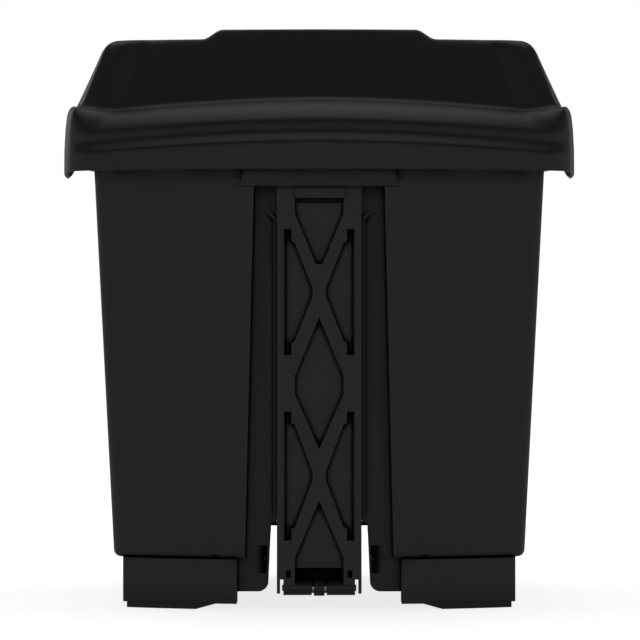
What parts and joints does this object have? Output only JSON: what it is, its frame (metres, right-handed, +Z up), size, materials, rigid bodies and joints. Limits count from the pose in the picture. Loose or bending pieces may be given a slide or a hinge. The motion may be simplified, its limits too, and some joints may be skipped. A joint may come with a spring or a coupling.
{
  "type": "pedal trash can",
  "caption": "Step-on waste container: tapered tub on a low plinth with a domed hinged lid that a foot pedal lifts through a ribbed strut in a rear channel.",
  "frame": {"origin": "centre of the footprint of the whole object, on the floor", "axes": "+Z up, pedal and front towards -Y, hinge and lift strut at +Y, +X to the right seen from the front"},
  "size_m": [0.4, 0.3999, 0.44],
  "materials": {
    "tub_plastic": "fine moulded texture",
    "lid_plastic": "fine moulded texture, slightly smoother",
    "base_plastic": "fine moulded texture",
    "linkage_plastic": "satin moulded",
    "steel": "zinc plated",
    "rubber": "matt"
  },
  "bodies": {
    "root": {"container": "tub_plastic", "base_plinth": "base_plastic", "plinth_screws": "steel", "foot_front_left": "rubber", "foot_front_right": "rubber", "foot_rear_left": "rubber", "foot_rear_right": "rubber", "hinge_bridge": "tub_plastic", "bridge_screws": "steel", "hinge_pin_left": "steel", "hinge_pin_right": "steel", "pivot_bracket": "steel", "bracket_screws": "steel", "pedal_axle": "steel", "axle_clip_left": "steel", "axle_clip_right": "steel", "pedal_buffer": "rubber"},
    "lid": {"lid_shell": "lid_plastic", "lift_lug": "linkage_plastic", "lug_screws": "steel", "lift_pin": "steel", "lid_bumpers": "rubber"},
    "pedal": {"pedal_lever": "linkage_plastic", "pedal_tread": "rubber", "strut_pin": "steel"},
    "strut": {"lift_strut": "linkage_plastic"}
  },
  "joints": [
    {"name": "lid_hinge", "type": "hinge", "parent": "root", "child": "lid", "pos_m": [0, 0.1844, 0.336], "axis": [-1, 0, 0], "range_deg": [0, 75]},
    {"name": "pedal_pivot", "type": "hinge", "parent": "root", "child": "pedal", "pos_m": [0, 0.009, 0.036], "axis": [1, 0, 0], "range_deg": [0, 14.82]},
    {"name": "strut_foot_pivot", "type": "hinge", "parent": "pedal", "child": "strut", "pos_m": [0, 0.159, 0.016], "axis": [1, 0, 0], "range_deg": [-14.82, 0]}
  ],
  "couplings": [
    {"joint": "pedal_pivot", "follows": "lid_hinge", "ratio": 0.19747},
    {"joint": "strut_foot_pivot", "follows": "lid_hinge", "ratio": -0.19747}
  ]
}
